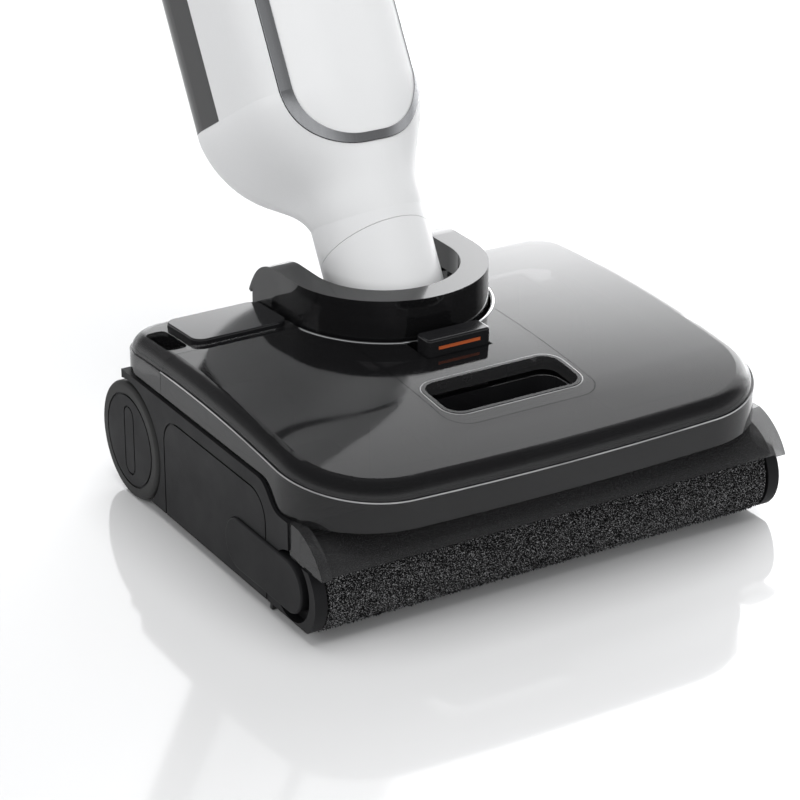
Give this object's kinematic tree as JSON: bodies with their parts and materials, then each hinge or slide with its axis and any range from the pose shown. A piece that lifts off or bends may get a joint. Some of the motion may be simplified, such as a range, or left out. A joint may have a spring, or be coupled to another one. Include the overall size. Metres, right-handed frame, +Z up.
{
  "type": "wet dry floor scrubber",
  "caption": "Cordless wet dry floor scrubber with a driven fibre roller, smoked cover, swivelling neck, water tanks, tube and grip.",
  "frame": {"origin": "on the floor under the middle of the whole machine's box", "axes": "+Z up, the roller and front face -Y, +X to the machine's left as seen from the front"},
  "size_m": [0.2885, 0.705, 0.9493],
  "materials": {
    "smoked_plastic": "smoked translucent gloss",
    "black_matte": "fine matte texture",
    "black_gloss": "polished",
    "white_gloss": "satin gloss",
    "silver_trim": "brushed",
    "orange_accent": "satin",
    "roller_fibre": "short dense pile",
    "rubber_black": "matte",
    "steel": "bright",
    "motor_steel": "rolled",
    "tube_aluminium": "anodised",
    "circuit_board": "lacquered",
    "filter_foam": "open foam",
    "battery_wrap": "shrink wrap"
  },
  "bodies": {
    "head": {"base_chassis": "black_matte", "pivot_brackets": "black_matte", "pivot_pins": "steel", "ballast_plates": "steel", "left_cheek": "black_matte", "right_cheek": "black_matte", "rear_deck": "smoked_plastic", "label_plate": "black_gloss", "collar": "smoked_plastic", "collar_flange": "smoked_plastic", "roller_shield": "smoked_plastic", "suction_duct": "black_matte", "spray_bar": "black_matte", "scraper_blade": "steel", "rear_squeegee": "rubber_black", "base_screws": "steel", "roller_driver": "black_matte", "water_valve": "black_matte", "roller_motor": "motor_steel", "wheel_axles": "steel", "wheel_drives": "motor_steel", "button_springs": "steel"},
    "cover": {"top_cover": "smoked_plastic", "latch_panel": "smoked_plastic", "window_lip": "smoked_plastic"},
    "release_button": {"release_button": "black_gloss", "button_line": "orange_accent"},
    "roller": {"roller_pile": "roller_fibre", "roller_core": "tube_aluminium", "drive_hub": "black_matte"},
    "motor_armature": {"motor_armature": "motor_steel"},
    "roller_cap": {"roller_cap": "black_matte"},
    "left_wheel": {"left_wheel": "black_matte", "left_tyre": "rubber_black"},
    "right_wheel": {"right_wheel": "black_matte", "right_tyre": "rubber_black"},
    "neck": {"neck_sleeve": "white_gloss", "pivot_bushes": "black_matte"},
    "upper_body": {"swivel_tube": "black_matte", "body_shell": "white_gloss", "battery_pack": "battery_wrap", "air_duct": "black_matte", "water_pump": "black_matte", "main_board": "circuit_board", "suction_motor": "motor_steel", "display_lens": "black_gloss", "tube_socket": "black_matte", "tube": "tube_aluminium", "grip": "black_matte", "grip_cap": "black_matte"},
    "suction_fan": {"suction_fan": "black_matte"},
    "dirty_tank": {"dirty_tank": "white_gloss", "tank_trim": "silver_trim", "tank_filter": "filter_foam"},
    "clean_tank": {"clean_tank": "black_gloss"},
    "clean_tank_cap": {"clean_tank_cap": "black_gloss"},
    "dirty_tank_latch": {"dirty_tank_latch": "white_gloss"},
    "clean_tank_latch": {"clean_tank_latch": "white_gloss"},
    "power_button": {"power_button": "black_matte"},
    "mode_button": {"mode_button": "black_matte"}
  },
  "joints": [
    {"name": "recline", "type": "hinge", "parent": "head", "child": "neck", "pos_m": [0, -0.176, 0.09], "axis": [-1, 0, 0], "range_deg": [-24, 40]},
    {"name": "swivel", "type": "hinge", "parent": "neck", "child": "upper_body", "pos_m": [0, -0.15685, 0.12317], "axis": [0, 0.7604, 0.6494], "range_deg": [-45, 45]},
    {"name": "roller_spin", "type": "hinge", "parent": "head", "child": "roller", "pos_m": [0, -0.318, 0.024], "axis": [1, 0, 0], "continuous": true},
    {"name": "armature_spin", "type": "hinge", "parent": "head", "child": "motor_armature", "pos_m": [0.08, -0.318, 0.024], "axis": [1, 0, 0], "continuous": true},
    {"name": "roller_cap_pull", "type": "slide", "parent": "head", "child": "roller_cap", "axis": [-1, 0, 0], "range_m": [0, 0.014]},
    {"name": "left_wheel_spin", "type": "hinge", "parent": "head", "child": "left_wheel", "pos_m": [-0.134, -0.137, 0.0335], "axis": [1, 0, 0], "continuous": true},
    {"name": "right_wheel_spin", "type": "hinge", "parent": "head", "child": "right_wheel", "pos_m": [0.134, -0.137, 0.0335], "axis": [1, 0, 0], "continuous": true},
    {"name": "cover_lift", "type": "slide", "parent": "head", "child": "cover", "axis": [0, 0, 1], "range_m": [0, 0.05]},
    {"name": "release_press", "type": "slide", "parent": "head", "child": "release_button", "axis": [0, 0, -1], "range_m": [0, 0.003], "stiffness_N_per_m": 400},
    {"name": "dirty_tank_slide", "type": "slide", "parent": "upper_body", "child": "dirty_tank", "axis": [0, -0.866, 0.5], "range_m": [0, 0.09]},
    {"name": "clean_tank_slide", "type": "slide", "parent": "upper_body", "child": "clean_tank", "axis": [0, 0.866, -0.5], "range_m": [0, 0.09]},
    {"name": "clean_cap_pull", "type": "slide", "parent": "clean_tank", "child": "clean_tank_cap", "axis": [0, 0.866, -0.5], "range_m": [0, 0.012]},
    {"name": "dirty_latch_press", "type": "slide", "parent": "upper_body", "child": "dirty_tank_latch", "axis": [0, 0.866, -0.5], "range_m": [0, 0.003], "stiffness_N_per_m": 400},
    {"name": "clean_latch_press", "type": "slide", "parent": "upper_body", "child": "clean_tank_latch", "axis": [0, -0.866, 0.5], "range_m": [0, 0.003], "stiffness_N_per_m": 400},
    {"name": "fan_spin", "type": "hinge", "parent": "upper_body", "child": "suction_fan", "pos_m": [0, 0.08985, 0.48846], "axis": [0, 0.5, 0.866], "continuous": true},
    {"name": "power_press", "type": "slide", "parent": "upper_body", "child": "power_button", "axis": [0, 0.866, -0.5], "range_m": [0, 0.0015], "stiffness_N_per_m": 400},
    {"name": "mode_press", "type": "slide", "parent": "upper_body", "child": "mode_button", "axis": [0, 0.866, -0.5], "range_m": [0, 0.0015], "stiffness_N_per_m": 400}
  ],
  "couplings": [
    {"joint": "armature_spin", "follows": "roller_spin", "ratio": 6}
  ]
}
